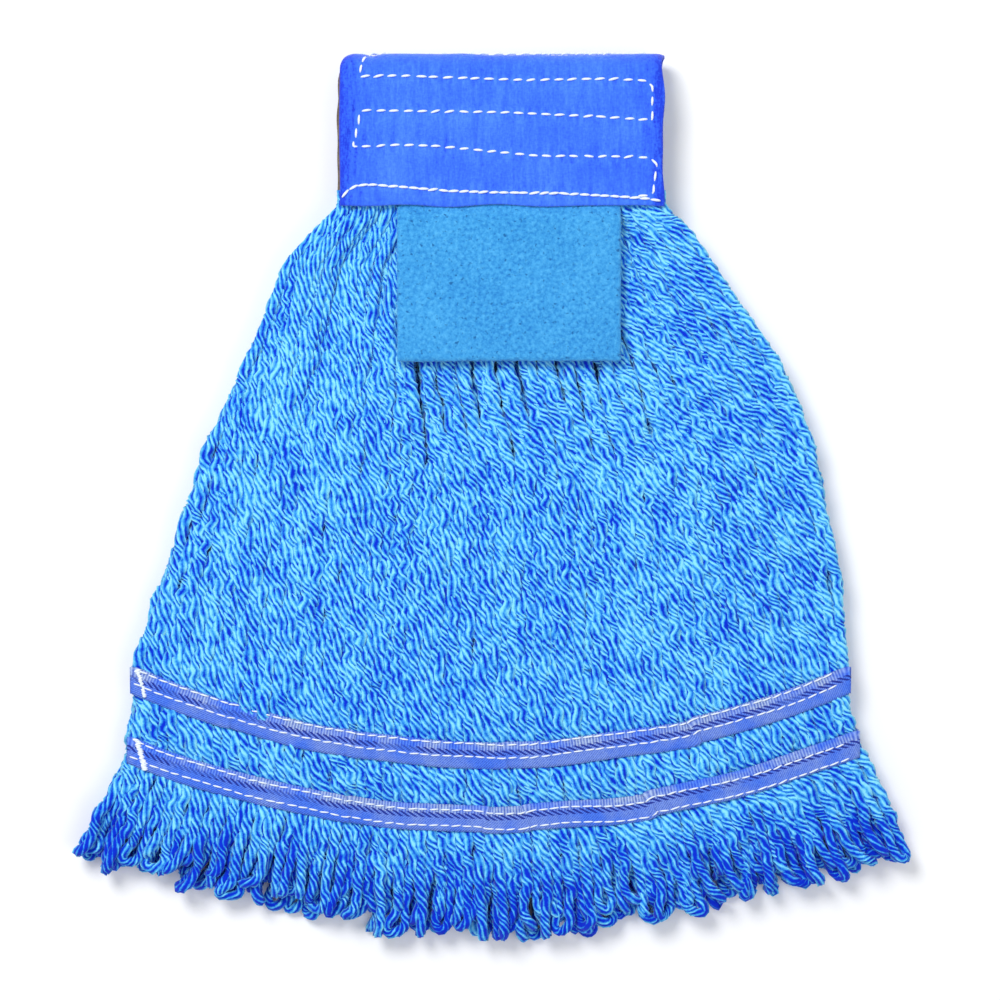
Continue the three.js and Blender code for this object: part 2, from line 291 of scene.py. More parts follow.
def join_meshes(parts):
    """Several lists of points and faces as one."""
    points, faces = [], []
    count = 0
    for part_points, part_faces in parts:
        faces += [[count + index for index in face] for face in part_faces]
        points.append(part_points)
        count += len(part_points)
    return np.concatenate(points), faces


# ---- Materials ----

class Nodes:
    """A short way to build a node material."""

    def __init__(self, name, roughness, sheen):
        self.material = bpy.data.materials.new(name)
        self.material.use_nodes = True
        self.tree = self.material.node_tree
        self.shader = self.tree.nodes["Principled BSDF"]
        self.shader.inputs["Roughness"].default_value = roughness
        self.shader.inputs["Specular IOR Level"].default_value = 0.2
        self.shader.inputs["Sheen Weight"].default_value = sheen
        self.shader.inputs["Sheen Roughness"].default_value = 0.5

    def add(self, kind, inputs=None, **settings):
        node = self.tree.nodes.new(kind)
        for key, value in settings.items():
            setattr(node, key, value)
        for key, value in (inputs or {}).items():
            self.put(node.inputs[key], value)
        return node

    def put(self, socket, value):
        if isinstance(value, bpy.types.NodeSocket):
            self.tree.links.new(value, socket)
        else:
            socket.default_value = value

    def place(self):
        return self.add("ShaderNodeTexCoord").outputs["Object"]

    def stretched(self, vector, scale):
        return self.add("ShaderNodeMapping", {"Vector": vector, "Scale": scale}).outputs["Vector"]

    def noise(self, vector, scale, detail=2.0, roughness=0.5):
        node = self.add("ShaderNodeTexNoise", {"Vector": vector, "Scale": scale, "Detail": detail,
                                               "Roughness": roughness})
        return node.outputs["Fac"]

    def math(self, operation, first, second=0.0, third=0.0):
        node = self.add("ShaderNodeMath", operation=operation)
        self.put(node.inputs[0], first)
        self.put(node.inputs[1], second)
        self.put(node.inputs[2], third)
        return node.outputs[0]

    def weave(self, vector, stretch, scale, warp_share):
        """Crossed threads: noise drawn out one way and the other, and added up."""
        warp = self.noise(self.stretched(vector, (1.0, stretch, 1.0)), scale)
        weft = self.noise(self.stretched(vector, (stretch, 1.0, 1.0)), scale)
        return self.math("ADD", self.times(warp, warp_share), self.times(weft, 1 - warp_share))

    def times(self, first, second):
        return self.math("MULTIPLY", first, second)

    def scaled(self, value, factor, base):
        return self.math("MULTIPLY_ADD", value, factor, base)

    def varied(self, base, pattern, amount, middle=0.5):
        """The base, higher or lower where the pattern is above or below its middle."""
        return self.scaled(self.math("SUBTRACT", pattern, middle), amount, base)

    def clamped(self, value, highest=1.0):
        return self.math("MINIMUM", self.math("MAXIMUM", value, 0.0), highest)

    def ramp(self, value, stops):
        node = self.add("ShaderNodeValToRGB", {"Fac": value})
        elements = node.color_ramp.elements
        while len(elements) < len(stops):
            elements.new(0.5)
        for element, (position, colour) in zip(elements, stops):
            element.position = position
            element.color = (*colour, 1)
        return node.outputs["Color"]

    def mix(self, factor, first, second, blend="MIX"):
        node = self.add("ShaderNodeMix", data_type="RGBA", blend_type=blend)
        self.put(node.inputs["Factor"], factor)
        self.put(node.inputs[6], first if isinstance(first, bpy.types.NodeSocket) else (*first, 1))
        self.put(node.inputs[7], second if isinstance(second, bpy.types.NodeSocket) else (*second, 1))
        return node.outputs[2]

    def attribute(self, name):
        return self.add("ShaderNodeAttribute", attribute_name=name).outputs["Fac"]

    def finish(self, colour, height, distance, roughness=None):
        self.put(self.shader.inputs["Base Color"], colour)
        bump = self.add("ShaderNodeBump", {"Height": height, "Distance": distance, "Strength": 1.0})
        self.put(self.shader.inputs["Normal"], bump.outputs["Normal"])
        if roughness is not None:
            self.put(self.shader.inputs["Roughness"], roughness)
        return self.material


def yarn_material():
    """Twisted microfibre with fine fibres: a painted highlight where a ply stands proud and painted shade,
    deep blue, in the grooves.
    """
    nodes = Nodes("yarn", 0.85, 0.1)
    nodes.shader.inputs["Specular IOR Level"].default_value = 0.1
    place = nodes.place()
    crest_highlight_and_shade = nodes.attribute("crest_highlight_and_shade")
    fibre = nodes.noise(place, 1400.0, 3.0, 0.6)
    fleck = nodes.noise(place, 330.0, 2.0, 0.6)
    patch = nodes.noise(place, 75.0, 3.0, 0.6)
    painted_light_and_tone = nodes.varied(crest_highlight_and_shade, fibre, 0.6)
    painted_light_and_tone = nodes.varied(painted_light_and_tone, fleck, 1.0)
    painted_light_and_tone = nodes.varied(painted_light_and_tone, patch, 0.95)
    painted_light_and_tone = nodes.math("ADD", painted_light_and_tone, nodes.times(nodes.attribute("tone"), 0.16))
    # The ramp runs from painted groove shade, deep blue, to a painted crest highlight, pale cyan, moved by
    # fibre, fleck and patch noise and the strand tone.
    colour = nodes.ramp(painted_light_and_tone, [
        (0.02, (0.000, 0.025, 0.62)),
        (0.34, (0.020, 0.235, 0.76)),
        (0.68, (0.100, 0.495, 0.91)),
        (1.02, (0.255, 0.750, 0.99)),
    ])
    return nodes.finish(colour, fibre, 0.25 * MM)


def band_material():
    """Royal blue cover cloth: plain weave with a soft nap, random patches and fine vertical puckers near
    the seams; painted highlight along the seams, painted shading of the puckers, and painted shade towards
    the side edges.
    """
    nodes = Nodes("band_cloth", 0.75, 0.3)
    place = nodes.place()
    weave = nodes.weave(place, 0.45, 1300.0, 0.6)
    patch = nodes.scaled(nodes.noise(place, 40.0, 3.0, 0.5), 0.5, 0.25)
    seam = nodes.attribute("seam")
    pucker_streaks = nodes.noise(nodes.stretched(place, (1.0, 0.12, 1.0)), 560.0, 2.0)
    # The pucker streaks, strongest near the seams, go into the bump and, as painted shading, into the
    # colour.
    pull = nodes.times(nodes.math("SUBTRACT", pucker_streaks, 0.5), nodes.math("POWER", seam, 0.5))
    tone = nodes.varied(patch, weave, 1.2)
    # Painted light: pucker shading near the seams, a highlight along the seams, and shade towards the side
    # edges where the cloth turns in.
    tone = nodes.scaled(pull, 1.5, tone)
    tone = nodes.scaled(seam, 0.12, tone)
    tone = nodes.scaled(nodes.attribute("side"), -0.55, tone)
    colour = nodes.ramp(tone, [
        (0.00, (0.004, 0.040, 0.66)),
        (0.25, (0.022, 0.110, 0.84)),
        (0.50, (0.034, 0.150, 0.88)),
        (0.95, (0.066, 0.230, 0.92)),
    ])
    rough = nodes.scaled(weave, 0.25, 0.62)
    height = nodes.scaled(pull, 1.6, weave)
    return nodes.finish(colour, height, 0.35 * MM, rough)


def lining_material():
    """Brown plain-woven lining."""
    nodes = Nodes("lining", 0.85, 0.1)
    place = nodes.place()
    weave = nodes.weave(place, 0.18, 800.0, 0.5)
    colour = nodes.ramp(weave, [(0.3, (0.10, 0.075, 0.055)), (0.7, (0.26, 0.20, 0.145))])
    return nodes.finish(colour, weave, 0.3 * MM)


def pad_material():
    """Sky blue non-woven scrub pad: tangled fibres, with painted shade in the pits between them."""
    nodes = Nodes("pad_fibre", 0.9, 0.2)
    place = nodes.place()
    tangle = nodes.noise(place, 620.0, 4.0, 0.7)
    pit_shade = nodes.noise(place, 480.0, 2.0, 0.5)
    patch = nodes.noise(place, 35.0, 3.0, 0.5)
    tone = nodes.varied(tangle, patch, 0.25)
    colour = nodes.ramp(tone, [
        (0.30, (0.014, 0.195, 0.57)),
        (0.50, (0.042, 0.320, 0.715)),
        (0.70, (0.085, 0.440, 0.84)),
    ])
    # Painted shade: the pits turn dark navy.
    pit_shade_amount = nodes.times(nodes.math("SUBTRACT", pit_shade, 0.62), 9.0)
    colour = nodes.mix(nodes.clamped(pit_shade_amount, 0.9), colour, (0.008, 0.120, 0.36))
    return nodes.finish(colour, tangle, 0.6 * MM)


def tape_material():
    """Blue tape: a ticked upper part, a chain of slanted navy marks, and a plain twill lower part."""
    nodes = Nodes("tape", 0.8, 0.15)
    uv = nodes.add("ShaderNodeUVMap", uv_map="cloth").outputs["UV"]
    split = nodes.add("ShaderNodeSeparateXYZ", {"Vector": uv})
    along, across = split.outputs["X"], split.outputs["Y"]
    place = nodes.place()
    patch = nodes.noise(place, 48.0, 3.0, 0.6)
    grain = nodes.noise(place, 1500.0, 2.0, 0.6)
    rough_grain = nodes.noise(place, 700.0, 2.0, 0.5)

    def wave(position, pitch):
        return nodes.math("SINE", nodes.times(position, 2 * math.pi / pitch))

    def zone(low, high):
        above = nodes.math("GREATER_THAN", across, low)
        return nodes.times(above, nodes.math("LESS_THAN", across, high))

    twill = wave(nodes.math("SUBTRACT", along, across), 1.15)
    ticks = wave(along, 1.3)
    fading = nodes.clamped(nodes.varied(0.3, patch, 5.0, middle=0.47))
    upper = zone(1.6, 9.0)
    fading = nodes.times(fading, nodes.scaled(upper, 0.55, 0.45))
    deep = nodes.mix(fading, (0.016, 0.080, 0.72), (0.060, 0.120, 0.50))
    pale = nodes.mix(fading, (0.100, 0.270, 0.92), (0.480, 0.610, 0.86))
    upper_tone = nodes.scaled(ticks, 0.34, rough_grain)
    lower_tone = nodes.scaled(twill, 0.26, grain)
    upper_part = nodes.times(upper, upper_tone)
    lower_part = nodes.times(nodes.math("SUBTRACT", 1.0, upper), lower_tone)
    tone = nodes.clamped(nodes.math("ADD", upper_part, lower_part))
    colour = nodes.mix(tone, deep, pale)
    chain = wave(nodes.scaled(across, 1.7, along), 3.1)
    chain = nodes.math("GREATER_THAN", nodes.scaled(rough_grain, 1.1, chain), 0.50)
    chain = nodes.times(chain, zone(-0.1, 2.3))
    clear = nodes.math("GREATER_THAN", nodes.noise(place, 33.0, 2.0, 0.5), 0.42)
    strength = nodes.scaled(clear, 0.45, 0.5)
    colour = nodes.mix(nodes.times(chain, strength), colour, (0.006, 0.020, 0.30))
    return nodes.finish(colour, tone, 0.4 * MM)


def thread_material():
    """White polyester sewing thread."""
    nodes = Nodes("thread", 0.55, 0.2)
    grain = nodes.noise(nodes.place(), 1800.0, 2.0, 0.6)
    colour = nodes.ramp(grain, [(0.3, (0.62, 0.74, 0.93)), (0.6, (0.90, 0.95, 1.0))])
    return nodes.finish(colour, grain, 0.15 * MM)


def floor_material():
    """A pale, matt backdrop."""
    nodes = Nodes("floor", 0.95, 0.0)
    grain = nodes.noise(nodes.place(), 6.0, 2.0, 0.5)
    colour = nodes.ramp(grain, [(0.0, (0.93, 0.935, 0.94)), (1.0, (0.95, 0.95, 0.955))])
    return nodes.finish(colour, grain, 0.01 * MM)


YARN = yarn_material()
BAND = band_material()
LINING = lining_material()
PAD = pad_material()
TAPE = tape_material()
THREAD = thread_material()


# ---- Camera, light and floor ----

VIEW_WIDTH = 0.430
VIEW_CENTRE = (0.0030, -0.0015)
LENS = 100.0
SENSOR = 36.0
FLOOR_REACH = 3.0


def add_camera():
    """A camera straight above the mop, as in the photograph."""
    data = bpy.data.cameras.new("camera")
    data.lens = LENS
    data.sensor_width = SENSOR
    camera = bpy.data.objects.new("camera", data)
    bpy.context.scene.collection.objects.link(camera)
    subject_z = (cad_bounds[0][2] + cad_bounds[1][2]) / 2
    camera.location = (*VIEW_CENTRE, subject_z + VIEW_WIDTH * LENS / SENSOR)
    bpy.context.scene.camera = camera


def add_area_light(name, location, size, power):
    """A round lamp that shines at the middle of the mop."""
    data = bpy.data.lights.new(name, "AREA")
    data.shape = "DISK"
    data.size = size
    data.energy = power
    light = bpy.data.objects.new(name, data)
    light.location = location
    light.rotation_euler = (-Vector(location)).to_track_quat("-Z", "Y").to_euler()
    bpy.context.scene.collection.objects.link(light)


def add_studio():
    """An even white surround, two lamps and the floor."""
    world = bpy.data.worlds.new("studio")
    world.use_nodes = True
    background = world.node_tree.nodes["Background"]
    background.inputs["Color"].default_value = (0.97, 0.985, 1.0, 1)
    background.inputs["Strength"].default_value = 0.62
    bpy.context.scene.world = world
    bpy.context.scene.view_settings.view_transform = "Standard"
    bpy.context.scene.view_settings.look = "None"
    add_area_light("key", (-0.55, 0.75, 1.35), 0.7, 17.0)
    add_area_light("fill", (0.9, -0.5, 1.5), 1.2, 5.0)
    corners = [(x * FLOOR_REACH, y * FLOOR_REACH, 0) for x, y in ((-1, -1), (1, -1), (1, 1), (-1, 1))]
    floor = add_mesh("floor", corners, [(0, 1, 2, 3)], floor_material())


add_camera()
add_studio()


# ---- Strands ----

YARN_RADIUS = 2.35 * MM
NECK_RADIUS = 1.9 * MM
FLATTENED = 0.8
WIDENED = 1.3
WIDENED_AT_TIP = 1.0
LAY = 19 * MM
PLIES = 5
GROOVE = 0.74
FULLEST = 1.28
FULLNESS_HIGHLIGHT = 1.6
RING_POINTS = 2 * PLIES
RING_STEP = 1.7 * MM
LOOPS_PER_LAYER = 5
LOOPS_ACROSS = LOOPS_PER_LAYER * BUNDLES
TUCK = 7 * MM
PAD_LOW, PAD_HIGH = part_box("scrub_pad")
CLUMPS = 27
clump_rng = np.random.default_rng(5)
CLUMP_CENTRES = np.linspace(0.02, 0.98, CLUMPS) + clump_rng.uniform(-0.008, 0.008, CLUMPS)
CLUMP_PULLS = clump_rng.uniform(0.32, 0.62, CLUMPS)
# The gaps between the clumps under the scrub pad: the pad's sides in the fan, where the gaps, their
# tops and their ends lie down the strands and how far each reaches, and how much the ends lean.
PAD_SHARES = (0.24, 0.80)
PAD_FADE = 0.05
GAPS = (0.31, 0.16)
GAP_TOPS = (0.28, 0.10)
GAP_ENDS = (0.52, 0.12)
LEAN_START = 0.20
LEAN_FADE = 0.18
LEAN = 0.027
LEAN_FALL = 0.050
LEAN_FALL_FROM = 0.33
TUFT_SHARES = (0.145, 0.185)
STRAND_SHARES = (0.008, 0.996)
LEG_POINTS = 190
TAPE_HOLD = 0.8
TAPE_HOLD_REACH = 0.12
LOOP_END = 2.91
LOOP_END_SPREAD = 0.12
INNER_SHORTER = 0.05
LOOP_TURN = 0.6 * math.pi
LOOP_TURN_LENGTH = 26 * MM
LOOP_LEAN = 0.42
SIDE_LEAN = 1.1
TIP_POINTS = 9
TIP_SWEEP = 1.35
JOINT = 4
TIP_LIFT = 0.95


def resample(path, extra, step):
    """The path at even steps, with the extra values carried along."""
    lengths = distances(path)
    even = np.linspace(0, lengths[-1], max(4, int(lengths[-1] / step)))
    return points_at(path, lengths, even), np.interp(even, lengths, extra)


def soften(path, passes):
    """The path with its corners rounded off, and its ends where they were."""
    for _ in range(passes):
        path[1:-1] = (path[:-2] + 2 * path[1:-1] + path[2:]) / 4
    return path


def gather(share, along):
    """Strands under the scrub pad draw towards the nearest clump, and lean to the side below it."""
    nearest = np.abs(CLUMP_CENTRES - share).argmin()
    before_right = smooth((PAD_SHARES[1] - share) / PAD_FADE)
    under_pad = smooth((share - PAD_SHARES[0]) / PAD_FADE) * before_right
    pull = under_pad * CLUMP_PULLS[nearest] * bell(along, *GAPS)
    near_pad = smooth((share - LEAN_START) / LEAN_FADE) * before_right
    lean = bell(along, *GAP_ENDS) - bell(along, *GAP_TOPS)
    lean = lean * near_pad * (LEAN - LEAN_FALL * (share - LEAN_FALL_FROM))
    return between(share, CLUMP_CENTRES[nearest], pull) + lean


def leg(half, layer, share, end, heights, rng):
    """One strand from inside the headband down to the start of its loop."""
    along = np.linspace(0, end, LEG_POINTS)
    wide = gather(share, along) if half == "front" else share
    flat = fan_point(np.clip(wide, *STRAND_SHARES), along)
    distance = distances(flat)
    freedom = smooth((along - 0.06) / 0.3) * (1 - TAPE_HOLD * bell(along, 1, TAPE_HOLD_REACH)
                                              - TAPE_HOLD * bell(along, 2, TAPE_HOLD_REACH))
    at_side = max(0, 1 - min(share, 1 - share) / 0.03)
    flat[:, 0] += freedom * wander(distance, rng, 3, (25 * MM, 95 * MM), (0.7 + 1.2 * at_side) * MM)
    flat[:, 0] += freedom * wander(distance, rng, 4, (8 * MM, 20 * MM), 0.75 * MM)
    foot = np.interp(along, HEIGHT_SAMPLES, heights[0])
    top = np.interp(along, HEIGHT_SAMPLES, heights[1])
    depth = rng.integers(0, 3) * 1.2 * MM * (1 - smooth(along / 0.55)) + rng.uniform(0, 0.8) * MM
    radius = between(NECK_RADIUS, YARN_RADIUS, smooth((along - 0.1) / 0.5))
    room = np.minimum(radius * FLATTENED, (top - foot) / 3.4)
    is_upper_layer = (layer == "outer") == (half == "front")
    z = top - room - depth if is_upper_layer else foot + room + depth
    z += freedom * wander(distance, rng, 3, (12 * MM, 50 * MM), 0.5 * MM)
    is_tuft = half == "front" and layer == "outer" and TUFT_SHARES[0] < share < TUFT_SHARES[1]
    if is_tuft:
        # A tuft near the left end comes out over the upper tape.
        stops = rng.uniform(0.984, 1.004)
        over = smooth((along - 0.90) / 0.06) * smooth((stops - along) / 0.014)
        z = between(z, tape_high.z + rng.uniform(0.5, 0.9) * MM, over)
        room = between(room, 0.9 * MM, over)
        flat[:, 0] += rng.uniform(-0.4, 1.6) * MM * over
    return np.column_stack([flat, z]), room / radius


def loop_tip(middle, offset, centre, rng):
    """The round end of a loop. It leans to the side, more so near the sides of the mop."""
    heading = middle[-1] - middle[-12]
    heading /= np.linalg.norm(heading)
    lean = rng.normal(0, LOOP_LEAN) + (centre - 0.5) * SIDE_LEAN
    heading = np.array([heading[0] * math.cos(lean) - heading[1] * math.sin(lean),
                        heading[0] * math.sin(lean) + heading[1] * math.cos(lean), 0])
    sideways = offset[-1] / np.linalg.norm(offset[-1])
    reach = rng.uniform(4.5, 9) * MM
    half_width = rng.uniform(3.0, 5.4) * MM
    sweep = np.linspace(-TIP_SWEEP, TIP_SWEEP, TIP_POINTS)
    return (middle[-1] + np.outer(np.cos(sweep) * reach, heading)
            + np.outer(np.sin(sweep) * half_width, sideways))


def hanging_loop(half, layer, number, heights, rng):
    """A strand pair joined by its loop: the path, the flattening and the radius along it."""
    centre = (number + (0.5 if layer == "outer" else 0.25)) / LOOPS_ACROSS
    spread = 0.25 / LOOPS_ACROSS
    end = LOOP_END - abs(rng.normal(0, LOOP_END_SPREAD)) - (INNER_SHORTER if layer == "inner" else 0)
    first, first_flat = leg(half, layer, centre - spread, end, heights, rng)
    second, second_flat = leg(half, layer, centre + spread, end, heights, rng)
    middle = (first + second) / 2
    offset = (second - first) / 2
    turn = rng.uniform(-LOOP_TURN, LOOP_TURN)
    steps = np.linalg.norm(np.diff(middle, axis=0, append=middle[-1:]), axis=1)
    distance_left = np.cumsum(steps[::-1])[::-1]
    angle = turn * smooth(1 - distance_left / LOOP_TURN_LENGTH)
    half_gap = np.maximum(np.linalg.norm(offset, axis=1), 1 * MM)
    offset = offset * np.cos(angle)[:, None]
    offset[:, 2] += half_gap * np.sin(angle)
    tip = loop_tip(middle, offset, centre, rng)
    down = (middle - offset)[:-JOINT]
    back_up = (middle + offset)[:-JOINT][::-1]
    path = np.concatenate([down, tip, back_up])
    tip_flat = np.full(TIP_POINTS, TIP_LIFT)
    flattening = np.concatenate([first_flat[:-JOINT], tip_flat, second_flat[:-JOINT][::-1]])
    path = np.vstack([path[0] + [0, TUCK, 0], path, path[-1] + [0, TUCK, 0]])
    flattening = np.concatenate([flattening[:1], flattening, flattening[-1:]])
    path, flattening = resample(path, flattening, RING_STEP)
    path = soften(path, 3)
    from_neck = np.minimum(np.arange(len(path)), np.arange(len(path))[::-1]) * RING_STEP
    radius = between(NECK_RADIUS, YARN_RADIUS, smooth((from_neck - 20 * MM) / (120 * MM)))
    radius = radius * (1 + wander(from_neck, rng, 2, (18 * MM, 60 * MM), 0.03))
    path[:, 2] = np.maximum(path[:, 2], radius * flattening * FULLEST)
    return path, flattening, radius


def strip_uvs(rings, column, columns):
    """The UVs of a tube's face corners: the walls fill a column of the texture, the caps its foot."""
    left = (column + 0.04) / columns
    step = ((column + 0.96) / columns - left) / RING_POINTS
    low_u = np.broadcast_to(left + step * np.arange(RING_POINTS), (rings - 1, RING_POINTS))
    ring_v = np.linspace(0.002, 0.998, rings)[:, None]
    low_v = np.broadcast_to(ring_v[:-1], low_u.shape)
    high_v = np.broadcast_to(ring_v[1:], low_u.shape)
    corners = [(low_u, low_v), (low_u + step, low_v), (low_u + step, high_v), (low_u, high_v)]
    walls = np.stack([np.stack(corner, -1) for corner in corners], 2).reshape(-1, 2)
    caps = np.full((2 * RING_POINTS, 2), [left, 0.001])
    return np.concatenate([walls, caps])


def yarn_tube(path, outward, flattening, widening, radius, rng):
    """A tube whose points follow the twist, so that every other line is a groove, and its crest values: a
    painted highlight on the crests and painted shade in the grooves.
    """
    tangent = unit(np.gradient(path, axis=0))
    up = unit(outward - tangent * (outward * tangent).sum(axis=1, keepdims=True))
    side = np.cross(tangent, up)
    length = distances(path)
    twist = length / LAY + wander(length, rng, 5, (7 * MM, 40 * MM), 0.12)
    turn = 2 * math.pi * (np.arange(RING_POINTS)[None, :] / RING_POINTS - twist[:, None])
    is_crest = np.arange(RING_POINTS) % 2 == 0
    fullness = np.stack([wander(length, rng, 3, (4 * MM, 14 * MM), 0.11) for _ in range(RING_POINTS)], -1)
    reach = radius[:, None] * (np.where(is_crest, 1.0, GROOVE)[None, :] + fullness)
    rise = (reach * np.cos(turn) * flattening[:, None])[:, :, None] * up[:, None, :]
    swing = (reach * np.sin(turn) * widening[:, None])[:, :, None] * side[:, None, :]
    points = (path[:, None, :] + rise + swing).reshape(-1, 3)
    # Painted light: crests lighter, grooves darker, and fuller plies painted lighter still.
    crest_highlight_and_shade = np.tile(is_crest, len(path)) + FULLNESS_HIGHLIGHT * fullness.ravel()
    return points, tube_faces(len(path), RING_POINTS), crest_highlight_and_shade


def add_yarn(name, tubes, tones):
    """Many tubes of yarn as one mesh. tones holds a number for each of its points."""
    points, faces = join_meshes([tube[:2] for tube in tubes])
    crest_highlights_and_shades = [tube[2] for tube in tubes]
    uvs = [strip_uvs(len(crest_highlight_and_shade) // RING_POINTS, column, len(tubes)) for column, crest_highlight_and_shade in enumerate(crest_highlights_and_shades)]
    return add_mesh(name, points, faces, YARN, {"OFBake": np.concatenate(uvs)},
                    {"crest_highlight_and_shade": np.concatenate(crest_highlights_and_shades), "tone": tones})


def add_strand_bundle(half, bundle):
    """All the loops of one bundle, in the outer and inner layers of its half."""
    rng = np.random.default_rng(100 + 20 * bundle + (7 if half == "front" else 0))
    heights = bundle_heights(half, bundle)
    tubes, tones = [], []
    for layer in ("inner", "outer"):
        for place in range(LOOPS_PER_LAYER):
            number = bundle * LOOPS_PER_LAYER + place
            path, flattening, radius = hanging_loop(half, layer, number, heights, rng)
            from_tip = np.abs(np.arange(len(path)) - (len(path) - 1) / 2) * RING_STEP
            to_tip = smooth(1 - (from_tip - 10 * MM) / (34 * MM))
            upwards = np.tile([0, 0, 1.0], (len(path), 1))
            widening = between(WIDENED, WIDENED_AT_TIP, to_tip)
            tubes.append(yarn_tube(path, upwards, flattening, widening, radius, rng))
            # Each loop gets a random tone, and is painted darker towards its tip.
            tone = rng.normal(0, 0.25) - to_tip * rng.uniform(0.8, 3.4)
            tones.append(np.repeat(tone, RING_POINTS))
    piece = add_yarn(f"{half}_strand_loops_{bundle + 1}", tubes, np.concatenate(tones))
    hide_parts(f"{half}_strands_{bundle + 1}")
    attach(piece, f"{half}_half")


for half in HALVES:
    for bundle in range(BUNDLES):
        add_strand_bundle(half, bundle)


# ---- Headband: cover, strands inside it, lining and seams ----

FLAT = FOLD_Y - HEM_Y
TURN = math.pi * COVER_OUTER_RADIUS
AROUND = 2 * FLAT + TURN
BAND_LEFT, BAND_RIGHT = cover_low.x, cover_high.x
BAND_TOP_Y = cover_high.y
BAND_GRID = 0.75 * MM
FOLD_PRESSED = 0.6 * MM
FOLD_CREASE = 0.9 * MM
QUILT_PUFF = 1.1 * MM
QUILT_REACH = 3.4 * MM
SEAM_DIP = 0.35 * MM
CORNER_ROUNDING = 8.6 * MM
CORNER_EAR = 1.1 * MM
EDGE_TURN = 0.9 * MM
LINING_OVERHANG = 1.3 * MM
LINING_PAST_HEM = 1.5 * MM
LINING_STITCH_RADIUS = LINING_INNER_RADIUS - 0.2 * MM

# The quilting seam of the front half, in mm: across, and up the cloth from the hem. It comes over
# the fold, runs in three rows and goes down the right side to the hem seam.
QUILTING_SEAM = [
    (66, 72.2), (58, 73), (20, 73), (8, 76), (-40, 76), (-50, 71), (-54.6, 66), (-57.2, 55.1),
    (-40, 55.4), (-19, 54.6), (14, 53.5), (49, 54.1), (65.4, 53.2), (67.9, 51),
    (67.9, 36.4), (46, 37.9), (3, 39.8), (-56.3, 40.6),
    (-59.6, 25), (-40, 25.9), (-24, 25.4), (19, 21.2), (57, 20.9), (67.5, 20.3), (69.7, 17.5),
    (68.4, 6), (67, 4.2), (59, 4.2),
]
HEM_SEAM = [
    (-64.5, 3.6), (-61.5, 6.6), (-58, 8.6), (-52, 8.9), (-37, 7.8), (-20, 6.3), (0, 5.6), (29, 5.2),
    (58, 3.6), (66, 2.9), (72, 1.9),
]


def wrap_point(across, travel, radius):
    """A point on a ply of the headband. travel runs from the front hem over the fold to the back hem."""
    angle = np.clip((travel - FLAT) / COVER_OUTER_RADIUS, 0, math.pi)
    before_fold = np.maximum(np.maximum(FLAT - travel, travel - FLAT - TURN), 0)
    pressed_radius = radius * (1 - FOLD_PRESSED / COVER_OUTER_RADIUS)
    y = FOLD_Y - before_fold + pressed_radius * np.sin(angle)
    z = BAND_MID_Z + radius * np.cos(angle)
    return np.stack(np.broadcast_arrays(across, y, z), -1)


def bend_with_fold(piece):
    """Bake the placement of a ply of the headband into its points."""
    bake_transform(piece)


def dense(line, step=1.0):
    """A polyline in mm, filled in at even steps."""
    line = np.array(line, float)
    lengths = distances(line)
    return points_at(line, lengths, np.arange(0, lengths[-1], step))


def band_seams():
    """Every seam of the headband in metres: the front ones, then their mirror images on the back."""
    middle = BAND_LEFT + BAND_RIGHT
    seams = {}
    for name, line in (("quilting", QUILTING_SEAM), ("hem", HEM_SEAM)):
        front = dense(line) * MM
        seams["front", name] = front
        seams["back", name] = np.stack([middle - front[:, 0], AROUND - front[:, 1]], -1)
    return seams


SEAMS = band_seams()


def distance_to_seams(across, travel):
    """How far each point of the cloth is from the nearest seam."""
    seam_points = np.concatenate(list(SEAMS.values()))
    tree = KDTree(len(seam_points))
    for index, (x, along) in enumerate(seam_points):
        tree.insert((x, along, 0), index)
    tree.balance()
    flat = [tree.find((x, along, 0))[2] for x, along in zip(across.ravel(), travel.ravel())]
    return np.array(flat).reshape(across.shape)


def quilt_lift(distance):
    """How far the padded cloth stands proud, for a distance to the nearest seam."""
    return QUILT_PUFF * (1 - np.exp(-(distance / QUILT_REACH) ** 2)) - SEAM_DIP


